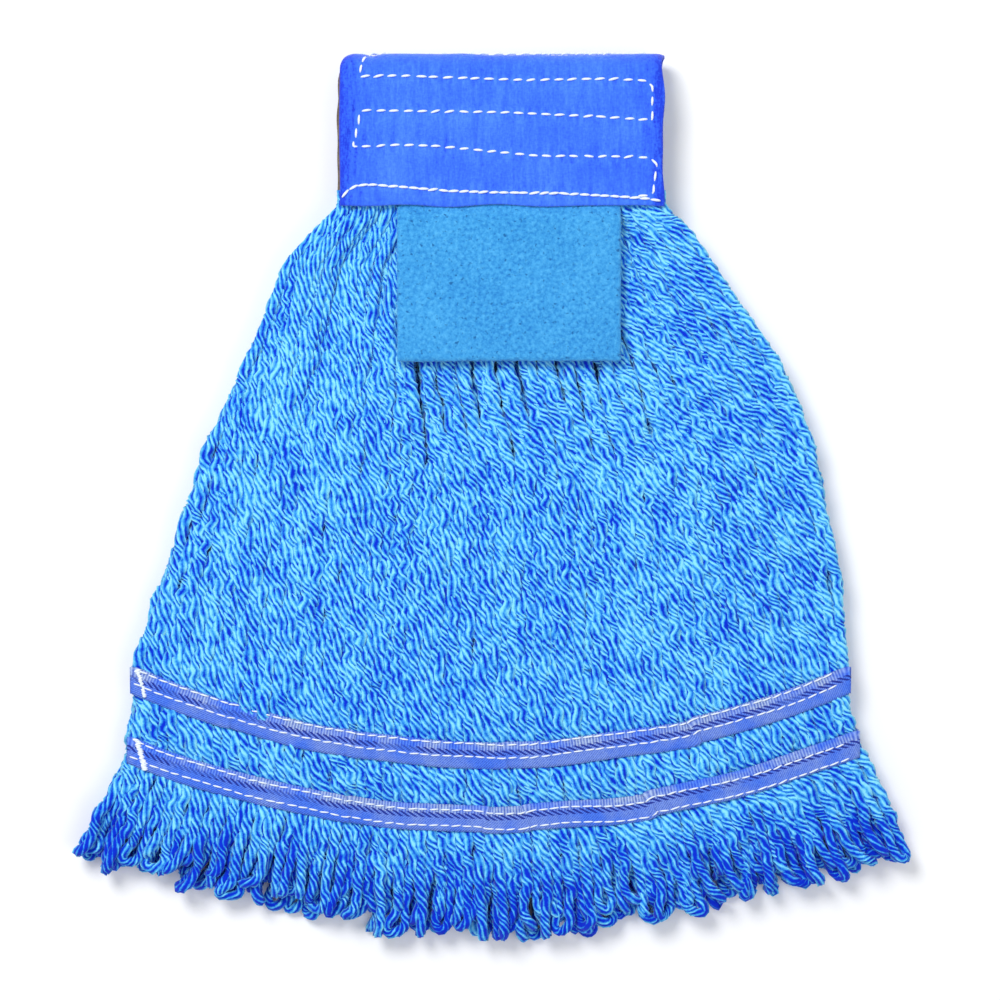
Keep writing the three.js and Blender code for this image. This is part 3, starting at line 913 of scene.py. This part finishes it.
def add_band_cover():
    """One piece of cloth that wraps the whole headband, drawn down along its seams."""
    rng = np.random.default_rng(31)
    travel = np.linspace(0, AROUND, int(AROUND / BAND_GRID))
    share = np.linspace(0, 1, int((BAND_RIGHT - BAND_LEFT) / BAND_GRID))
    height = wrap_point(0.0, travel, COVER_OUTER_RADIUS)[:, 1]
    into_corner = np.clip((height - BAND_TOP_Y + CORNER_ROUNDING) / CORNER_ROUNDING, 0, 0.985)
    rounding = CORNER_ROUNDING * (1 - np.sqrt(1 - into_corner ** 2))
    ear = CORNER_EAR * np.exp(-(BAND_TOP_Y - height) / (2.5 * MM))
    left = BAND_LEFT + rounding + wander(travel, rng, 3, (18 * MM, 60 * MM), 0.3 * MM)
    right = BAND_RIGHT + ear + wander(travel, rng, 3, (22 * MM, 45 * MM), 0.45 * MM)
    across = between(left[:, None], right[:, None], share)
    hem_wave = wander(across[0], rng, 3, (20 * MM, 70 * MM), 0.4 * MM)
    to_front_hem = np.exp(-travel / (9 * MM))[:, None]
    to_back_hem = np.exp(-(AROUND - travel) / (9 * MM))[:, None]
    along = travel[:, None] + hem_wave[None, :] * (to_front_hem - to_back_hem)
    distance = distance_to_seams(across, along)
    from_side = np.minimum(across - left[:, None], right[:, None] - across)
    from_hem = np.minimum(travel, AROUND - travel)[:, None]
    turned_in = np.exp(-from_side / (1.6 * MM)) + 0.6 * np.exp(-from_hem / (1.2 * MM))
    swell = wander(along, rng, 4, (14 * MM, 40 * MM), 0.14 * MM)
    swell = swell + wander(across, rng, 4, (9 * MM, 30 * MM), 0.12 * MM)
    crease = FOLD_CREASE * bell(travel, AROUND / 2, 5 * MM)[:, None]
    lift = quilt_lift(distance) + swell - turned_in * EDGE_TURN - crease
    outer = wrap_point(across, along, COVER_OUTER_RADIUS + lift)
    inner = wrap_point(across, along, COVER_OUTER_RADIUS + lift - COVER_THICKNESS)
    points, faces = slab(outer, inner)
    # Falloffs from the seams and from the side edges, for the painted highlight and pucker shading near the
    # seams and the painted shade towards the sides.
    seam_painted_light = np.exp(-distance / (4.5 * MM)).ravel()
    side_painted_shade = np.exp(-from_side / (6 * MM)).ravel()
    piece = add_mesh("band_cover", points, faces, BAND, None,
                     {"seam": np.tile(seam_painted_light, 2), "side": np.tile(side_painted_shade, 2)})
    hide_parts("front_band_cover", "back_band_cover")
    bend_with_fold(piece)


def add_band_lining():
    """Brown cloth along the inside of the channel; its left edge shows past the cover."""
    rng = np.random.default_rng(32)
    travel = np.linspace(-LINING_PAST_HEM, AROUND + LINING_PAST_HEM, 130)
    share = np.linspace(0, 1, 90)
    height = wrap_point(0.0, travel, LINING_OUTER_RADIUS)[:, 1]
    from_top = np.clip((height - FOLD_Y + 2 * MM) / (6 * MM), 0, 1)
    left = BAND_LEFT - LINING_OVERHANG + 2 * MM * from_top
    left = left + wander(travel, rng, 3, (12 * MM, 50 * MM), 0.3 * MM)
    right = BAND_RIGHT - 0.6 * MM + wander(travel, rng, 3, (12 * MM, 50 * MM), 0.3 * MM)
    across = between(left[:, None], right[:, None], share)
    ripple = wander(across, rng, 3, (15 * MM, 60 * MM), 0.06 * MM)
    outer = wrap_point(across, travel[:, None], LINING_OUTER_RADIUS + ripple)
    inner = wrap_point(across, travel[:, None], LINING_INNER_RADIUS + ripple)
    points, faces = slab(outer, inner)
    piece = add_mesh("band_lining", points, faces, LINING)
    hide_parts("front_band_lining", "back_band_lining")
    bend_with_fold(piece)


CORE_INSET = 1.5 * MM
CORE_DEPTH = (CORE_OUTER_RADIUS - LINING_OUTER_RADIUS) / 2
CORE_PITCH = (BAND_RIGHT - BAND_LEFT - 2 * CORE_INSET) / LOOPS_ACROSS


def add_band_strands(layer, turn_radius):
    """One layer of the strands inside the headband, pressed flat between cover and lining."""
    rng = np.random.default_rng(33 + len(layer))
    travel = np.linspace(2 * MM, AROUND - 2 * MM, 80)
    radius = np.full(len(travel), CORE_PITCH * 0.56)
    flattening = np.full(len(travel), 0.38 * CORE_DEPTH / radius[0])
    widening = np.full(len(travel), WIDENED)
    tubes = []
    for number in range(LOOPS_ACROSS):
        across = BAND_LEFT + CORE_INSET + (number + 0.5) * CORE_PITCH
        across = across + wander(travel, rng, 2, (20 * MM, 60 * MM), 0.2 * MM)
        path = wrap_point(across, travel, turn_radius)
        outward = (wrap_point(across, travel, turn_radius + MM) - path) / MM
        tubes.append(yarn_tube(path, outward, flattening, widening, radius, rng))
    tones = np.zeros(LOOPS_ACROSS * len(travel) * RING_POINTS)
    piece = add_yarn(f"band_strands_{layer}", tubes, tones)
    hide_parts("front_band_yarn_core", "back_band_yarn_core")
    bend_with_fold(piece)


# ---- Stitches ----

STITCH_RINGS = 8
STITCH_SIDES = 6
# The pitch, length and thickness of the stitches.
QUILTING_STITCH = (5.9 * MM, 4.3 * MM, 1.15 * MM)
HEM_STITCH = (4.3 * MM, 4.6 * MM, 1.25 * MM)
TAPE_STITCH = (4.7 * MM, 4.2 * MM, 0.78 * MM)


def stitch_mesh(line, pitch, length, thickness, place, rng):
    """Separate stitches along a line on cloth. place turns points of the line and a lift into space."""
    lengths = distances(line)
    share = np.linspace(0, 1, STITCH_RINGS)
    bulge = np.sin(math.pi * share) ** 0.55
    angle = 2 * math.pi * np.arange(STITCH_SIDES) / STITCH_SIDES
    walls = tube_faces(STITCH_RINGS, STITCH_SIDES)
    stitches = []
    for number in range(int((lengths[-1] - length) / pitch) + 1):
        start = number * pitch + rng.uniform(-0.06, 0.06) * pitch
        stops = start + share * length * rng.uniform(0.92, 1.06)
        centre = points_at(line, lengths, stops)
        heading = centre[-1] - centre[0]
        heading = heading / (np.linalg.norm(heading) + 1e-9)
        slant = rng.normal(0.10, 0.12) * thickness * (share - 0.5)
        centre = centre + 2.5 * slant[:, None] * np.array([-heading[1], heading[0]])
        spine = place(centre, thickness * (0.62 * bulge - 0.25))
        above = place(centre, thickness * (0.62 * bulge - 0.25) + MM)
        up = (above - spine) / MM
        side = np.cross(unit(np.gradient(spine, axis=0)), up)
        reach = (thickness / 2 * (0.45 + 0.55 * bulge))[:, None, None]
        ring = spine[:, None, :] + reach * (np.cos(angle)[None, :, None] * up[:, None, :]
                                            + np.sin(angle)[None, :, None] * side[:, None, :])
        stitches.append((ring.reshape(-1, 3), walls))
    return join_meshes(stitches)


def place_on_cover(centre, lift):
    """On the quilted cover, where a seam draws the cloth down."""
    return wrap_point(centre[:, 0], centre[:, 1], COVER_OUTER_RADIUS - SEAM_DIP + lift)


def place_on_lining(centre, lift):
    """On the lining, inside the channel."""
    return wrap_point(centre[:, 0], centre[:, 1], LINING_INNER_RADIUS - lift)


def add_band_stitches(half, seam, node, pitch, length, thickness):
    """The stitches of one seam: a row on the cover and the matching row on the lining."""
    rng = np.random.default_rng(40 + len(half) + len(seam))
    whole = SEAMS[half, seam]
    below_fold = whole[np.abs(whole[:, 1] - AROUND / 2) > TURN / 2]
    for side, line, place, radius, share in (
            ("outside", whole, place_on_cover, COVER_OUTER_RADIUS, 1.0),
            ("inside", below_fold, place_on_lining, LINING_STITCH_RADIUS, 0.8)):
        points, faces = stitch_mesh(line, pitch, length, thickness * share, place, rng)
        piece = add_mesh(f"{half}_{seam}_stitches_{side}", points, faces, THREAD)
        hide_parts(node)
        bend_with_fold(piece)


add_band_cover()
add_band_lining()
add_band_strands("inner", LINING_OUTER_RADIUS + 0.5 * CORE_DEPTH)
add_band_strands("outer", LINING_OUTER_RADIUS + 1.5 * CORE_DEPTH)
for half in HALVES:
    add_band_stitches(half, "quilting", f"{half}_serpentine_stitching", *QUILTING_STITCH)
    add_band_stitches(half, "hem", f"{half}_hem_seam", *HEM_STITCH)


# ---- Scrub pad ----

PAD_GRID = 0.8 * MM
PAD_EDGE_LOW, PAD_EDGE_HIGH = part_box("scrub_pad_seam_edge")


def add_scrub_pad():
    """A fibrous slab, full thickness below the hem and pressed thin where the hem seam holds it."""
    rng = np.random.default_rng(51)
    wide = np.linspace(PAD_LOW.x, PAD_HIGH.x, int((PAD_HIGH.x - PAD_LOW.x) / PAD_GRID))
    top_y = PAD_EDGE_HIGH.y
    tall = np.linspace(PAD_LOW.y, top_y, int((top_y - PAD_LOW.y) / PAD_GRID))
    x, y = np.meshgrid(wide, tall)
    from_edge = np.minimum.reduce([x - PAD_LOW.x, PAD_HIGH.x - x, y - PAD_LOW.y, top_y - y])
    rounding = 0.9 * MM * np.exp(-from_edge / (0.7 * MM))
    pressed = smooth((y - HEM_Y + 7 * MM) / (8 * MM))
    top = between(PAD_HIGH.z, PAD_EDGE_HIGH.z, pressed)
    foot = between(PAD_LOW.z, PAD_EDGE_LOW.z, pressed)
    roughness = rng.normal(0, 0.10 * MM, x.shape)
    sway = wander(x, rng, 3, (25 * MM, 80 * MM), 0.12 * MM)
    sway = sway + wander(y, rng, 3, (25 * MM, 80 * MM), 0.12 * MM)
    ragged_x = x + rng.normal(0, 0.12 * MM, x.shape)
    ragged_y = y + wander(x, rng, 3, (20 * MM, 90 * MM), 0.25 * MM)
    ragged_y = ragged_y + rng.normal(0, 0.12 * MM, x.shape)
    outer = np.stack([ragged_x, ragged_y, top - rounding + roughness + sway], -1)
    inner = np.stack([ragged_x, ragged_y, foot + rounding], -1)
    points, faces = slab(outer, inner)
    piece = add_mesh("scrub_pad_fibre", points, faces, PAD)
    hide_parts("scrub_pad", "scrub_pad_seam_edge")
    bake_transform(piece)


add_scrub_pad()


# ---- Tapes ----

TAPE_COLUMNS = 360
TAPE_CLOTH_WIDTH = 11.4 * MM
# Creases in the outer ply of each tape: how far along it, and how far it jogs up, in mm.
TAPE_CREASES = {
    "upper": [(0.135, 0.3), (0.305, -0.3), (0.52, 0.3), (0.785, 0.7)],
    "lower": [(0.30, 0.3), (0.49, -0.3), (0.545, 0.3), (0.715, 0.7)],
}
# The bar tack at the left end of each tape, in mm: distance from the end, width and height.
BAR_TACKS = {"upper": (5.2, 2.0, 9.4), "lower": (6.4, 2.8, 11.0)}
BAR_TACK_LEAN = 0.72
# Where the two rows of stitching run on each tape, in mm from its middle, at the left and right ends.
TAPE_ROWS = {
    "upper": {"above": (4.8, 4.8), "below": (-1.0, -0.6)},
    "lower": {"above": (4.6, 1.6), "below": (-2.4, -4.9)},
}


class TapeLine:
    """The middle line of a tape with its creases, and the way to a point beside it."""

    def __init__(self, half, row, ply):
        self.node = f"{half}_{row}_tape_{ply}"
        self.row = row
        self.is_outer = ply == "outer"
        rng = np.random.default_rng(60 + sum(map(ord, self.node)) % 97)
        low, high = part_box(self.node)
        self.share = np.linspace(-0.004, 1.004, TAPE_COLUMNS)
        x, y = tape_point(row, self.share)
        length = distances(np.stack([x, y], -1))
        y = y + wander(length, rng, 3, (40 * MM, 120 * MM), 0.35 * MM)
        z = np.full(TAPE_COLUMNS, (low.z + high.z) / 2)
        z = z + wander(length, rng, 3, (7 * MM, 40 * MM), 0.16 * MM)
        if self.is_outer:
            outwards = 1 if half == "front" else -1
            for place, jog in TAPE_CREASES[row]:
                nearness = (self.share - place) / 0.003
                y = y + jog * MM * np.tanh(nearness) * np.exp(-np.abs(nearness) / 14)
                z = z + outwards * 0.9 * MM * np.exp(-nearness ** 2)
        self.centre = np.stack([x, y, z], -1)
        heading = np.gradient(self.centre, axis=0)
        heading[:, 2] = 0
        heading = unit(heading)
        self.aside = np.stack([-heading[:, 1], heading[:, 0], np.zeros(TAPE_COLUMNS)], -1)
        self.length = length
        self.up = 1.0 if (half == "front") == self.is_outer else -1.0

    def place(self, centre, lift):
        """centre holds distances along the tape and to its side."""
        middle = points_at(self.centre, self.length, centre[:, 0])
        aside = points_at(self.aside, self.length, centre[:, 0])
        point = middle + aside * centre[:, 1:2]
        point[:, 2] += self.up * (TAPE_THICKNESS / 2 + lift)
        return point


def add_tape(half, row, ply):
    """One ply of a tape. Returns its line, for the stitches."""
    line = TapeLine(half, row, ply)
    rng = np.random.default_rng(70 + sum(map(ord, line.node)) % 97)
    beside = np.linspace(-0.5, 0.5, 9) * TAPE_CLOTH_WIDTH
    ragged = 1 + rng.normal(0, 0.012, TAPE_COLUMNS)
    offset = (beside[None, :] * ragged[:, None])[:, :, None]
    flat = line.centre[:, None, :] + line.aside[:, None, :] * offset
    cupped = 0.12 * MM * np.cos(np.pi * beside / TAPE_CLOTH_WIDTH)[None, :] * line.up
    half_thickness = TAPE_THICKNESS * 0.4
    outer, inner = flat.copy(), flat.copy()
    outer[:, :, 2] += cupped + half_thickness
    inner[:, :, 2] += cupped - half_thickness
    outer, inner = outer.transpose(1, 0, 2), inner.transpose(1, 0, 2)
    points, faces = slab(outer, inner)
    where = np.stack(np.meshgrid(line.length / MM, beside / MM), -1).reshape(-1, 2)
    where = np.concatenate([where, where])
    piece = add_mesh(f"{half}_{row}_tape_{ply}_cloth", points, faces, TAPE, {"cloth": where[faces.ravel()]})
    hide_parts(line.node)
    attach(piece, f"{half}_half")
    return line


def add_tape_rows(half, row, line, inner_line):
    """Two rows of stitching through both plies of a tape."""
    total = line.length[-1]
    for level, (left, right) in TAPE_ROWS[row].items():
        rng = np.random.default_rng(80 + len(half) + len(row) + len(level))
        ends = np.array([[2 * MM, left * MM], [total - 2 * MM, right * MM]])
        seam = dense(ends / MM) * MM
        seam[:, 1] += wander(seam[:, 0], rng, 3, (25 * MM, 90 * MM), 0.25 * MM)
        outside = stitch_mesh(seam, *TAPE_STITCH, line.place, rng)
        inside = stitch_mesh(seam, *TAPE_STITCH, inner_line.place, rng)
        points, faces = join_meshes([outside, inside])
        piece = add_mesh(f"{half}_{row}_tape_row_{level}", points, faces, THREAD)
        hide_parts(f"{half}_{row}_tape_stitch_{level}")
        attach(piece, f"{half}_half")


def add_bar_tack(half, row, line):
    """The slanted satin stitches that tack down the left end of a tape."""
    rng = np.random.default_rng(90 + len(half) + len(row))
    from_end, width, height = BAR_TACKS[row]
    satin = []
    for across in np.arange(-height / 2, height / 2, 0.55):
        start = from_end - width / 2 - across * BAR_TACK_LEAN + rng.normal(0, 0.08)
        stitch = np.array([[start, across], [start + width, across + 0.5]]) * MM
        satin.append(stitch_mesh(stitch, 10 * MM, 0.95 * width * MM, 1.3 * MM, line.place, rng))
    points, faces = join_meshes(satin)
    piece = add_mesh(f"{half}_{row}_tape_bar_tack_thread", points, faces, THREAD)
    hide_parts(f"{half}_{row}_tape_bar_tack")
    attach(piece, f"{half}_half")


for half in HALVES:
    for row in TAPES:
        outer_line = add_tape(half, row, "outer")
        inner_line = add_tape(half, row, "inner")
        add_tape_rows(half, row, outer_line, inner_line)
        add_bar_tack(half, row, outer_line)
